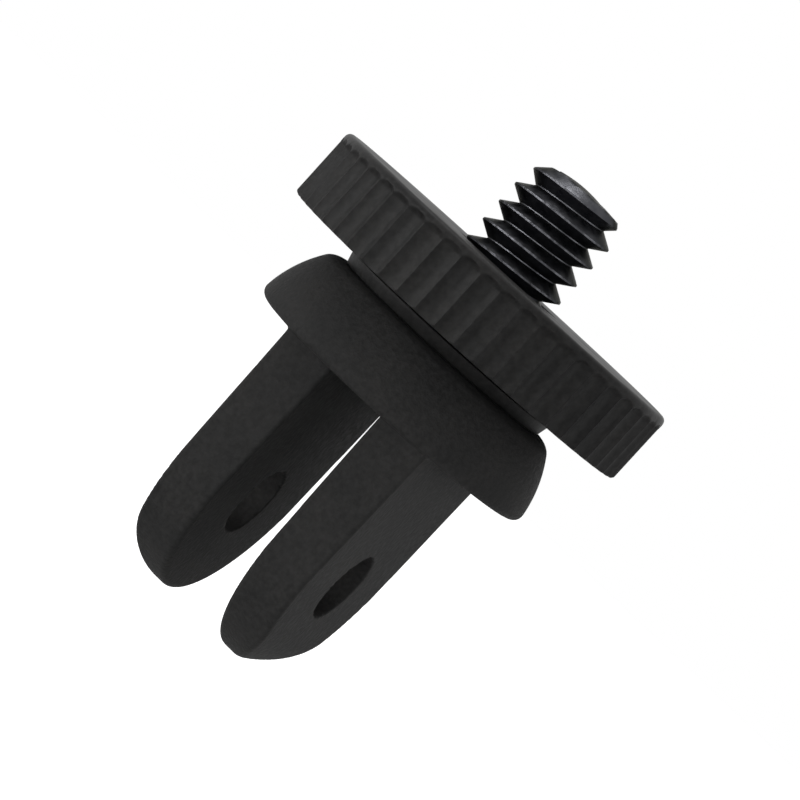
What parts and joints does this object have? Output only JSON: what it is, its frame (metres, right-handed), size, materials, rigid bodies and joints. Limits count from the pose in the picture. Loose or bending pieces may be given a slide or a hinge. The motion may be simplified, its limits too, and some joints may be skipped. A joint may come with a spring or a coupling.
{
  "type": "action camera reverse mount",
  "caption": "Forked plastic mount with a domed collar, a knurled thumb wheel and a black steel camera stud that screws up into a camera's base.",
  "frame": {"origin": "centre of the fork's cross bore, on the stud's axis", "axes": "+X along the cross bore, +Y across the width of the fingers, +Z along the stud towards its free end"},
  "size_m": [0.023, 0.023, 0.0311],
  "materials": {
    "fork_plastic": "fine moulded texture, matte",
    "wheel_plastic": "waxy, low sheen",
    "stud_steel": "black oxide, glossy"
  },
  "bodies": {
    "mount": {"fork_body": "fork_plastic", "threaded_stud": "stud_steel"},
    "washer": {"spacer_washer": "wheel_plastic"},
    "wheel": {"thumb_wheel": "wheel_plastic"}
  },
  "joints": [
    {"name": "wheel_travel", "type": "slide", "parent": "mount", "child": "washer", "axis": [0, 0, 1], "range_m": [0, 0.0054]},
    {"name": "wheel_turn", "type": "hinge", "parent": "washer", "child": "wheel", "pos_m": [0, 0, 0.016], "axis": [0, 0, 1], "range_deg": [0, 1530]}
  ],
  "couplings": [
    {"joint": "wheel_travel", "follows": "wheel_turn", "m_per_rad": 0.00020213}
  ]
}
